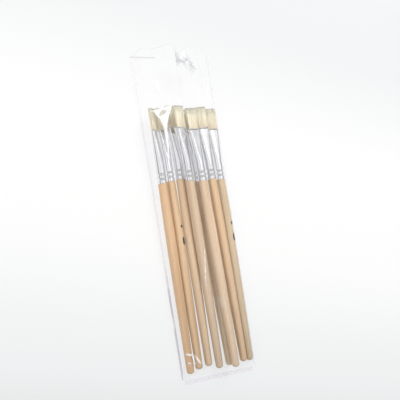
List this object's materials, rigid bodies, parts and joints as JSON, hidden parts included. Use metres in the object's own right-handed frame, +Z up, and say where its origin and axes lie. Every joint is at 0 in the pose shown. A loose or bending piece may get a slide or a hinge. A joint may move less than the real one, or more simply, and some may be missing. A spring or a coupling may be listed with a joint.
{
  "type": "flat brush set in a film bag",
  "caption": "Slim flat bristle brushes with turned wooden handles and crimped metal ferrules, lying side by side in an open clear film bag; each one draws out of the mouth.",
  "frame": {"origin": "on the surface that the bag lies on, under the middle of the bag", "axes": "+X across the bag, +Y along it from the foot to the mouth, +Z up from the surface"},
  "size_m": [0.067, 0.252, 0.0252],
  "materials": {
    "wood": "pale turned wood under a clear lacquer, fine straight grain along the handle",
    "ferrule_metal": "bright drawn tube, softly streaked along its length, with two pressed rings",
    "bristle": "blond natural bristle, cut square, darker towards the root",
    "resin": "cast amber resin inside the ferrule",
    "film": "thin clear crisp polypropylene film with soft creases",
    "weld": "heat-sealed film, faintly ribbed and cloudy",
    "creased_film": "film turned over on itself, grey and crumpled"
  },
  "bodies": {
    "bag": {"back_film": "film", "front_film": "film", "left_weld": "weld", "right_weld": "weld", "foot_seal": "weld", "folded_corner": "creased_film"},
    "brush_1": {"brush_1_handle": "wood", "brush_1_ferrule": "ferrule_metal", "brush_1_tuft": "bristle", "brush_1_resin_plug": "resin"},
    "brush_2": {"brush_2_handle": "wood", "brush_2_ferrule": "ferrule_metal", "brush_2_tuft": "bristle", "brush_2_resin_plug": "resin"},
    "brush_3": {"brush_3_handle": "wood", "brush_3_ferrule": "ferrule_metal", "brush_3_tuft": "bristle", "brush_3_resin_plug": "resin"},
    "brush_4": {"brush_4_handle": "wood", "brush_4_ferrule": "ferrule_metal", "brush_4_tuft": "bristle", "brush_4_resin_plug": "resin"},
    "brush_5": {"brush_5_handle": "wood", "brush_5_ferrule": "ferrule_metal", "brush_5_tuft": "bristle", "brush_5_resin_plug": "resin"},
    "brush_6": {"brush_6_handle": "wood", "brush_6_ferrule": "ferrule_metal", "brush_6_tuft": "bristle", "brush_6_resin_plug": "resin"},
    "brush_7": {"brush_7_handle": "wood", "brush_7_ferrule": "ferrule_metal", "brush_7_tuft": "bristle", "brush_7_resin_plug": "resin"},
    "brush_8": {"brush_8_handle": "wood", "brush_8_ferrule": "ferrule_metal", "brush_8_tuft": "bristle", "brush_8_resin_plug": "resin"}
  },
  "joints": [
    {"name": "brush_1_draw", "type": "slide", "parent": "bag", "child": "brush_1", "axis": [-0.0167, 0.9993, 0.0324], "range_m": [0, 0.25]},
    {"name": "brush_2_draw", "type": "slide", "parent": "bag", "child": "brush_2", "axis": [-0.0076, 1, 0], "range_m": [0, 0.25]},
    {"name": "brush_3_draw", "type": "slide", "parent": "bag", "child": "brush_3", "axis": [-0.0146, 0.9995, 0.0276], "range_m": [0, 0.25]},
    {"name": "brush_4_draw", "type": "slide", "parent": "bag", "child": "brush_4", "axis": [-0.0372, 0.9973, 0.0625], "range_m": [0, 0.25]},
    {"name": "brush_5_draw", "type": "slide", "parent": "bag", "child": "brush_5", "axis": [-0.0259, 0.9996, 0.0065], "range_m": [0, 0.25]},
    {"name": "brush_6_draw", "type": "slide", "parent": "bag", "child": "brush_6", "axis": [-0.0292, 0.9995, 0.0081], "range_m": [0, 0.25]},
    {"name": "brush_7_draw", "type": "slide", "parent": "bag", "child": "brush_7", "axis": [-0.0308, 0.9992, 0.0254], "range_m": [0, 0.25]},
    {"name": "brush_8_draw", "type": "slide", "parent": "bag", "child": "brush_8", "axis": [-0.0086, 0.9999, 0.0092], "range_m": [0, 0.25]}
  ]
}
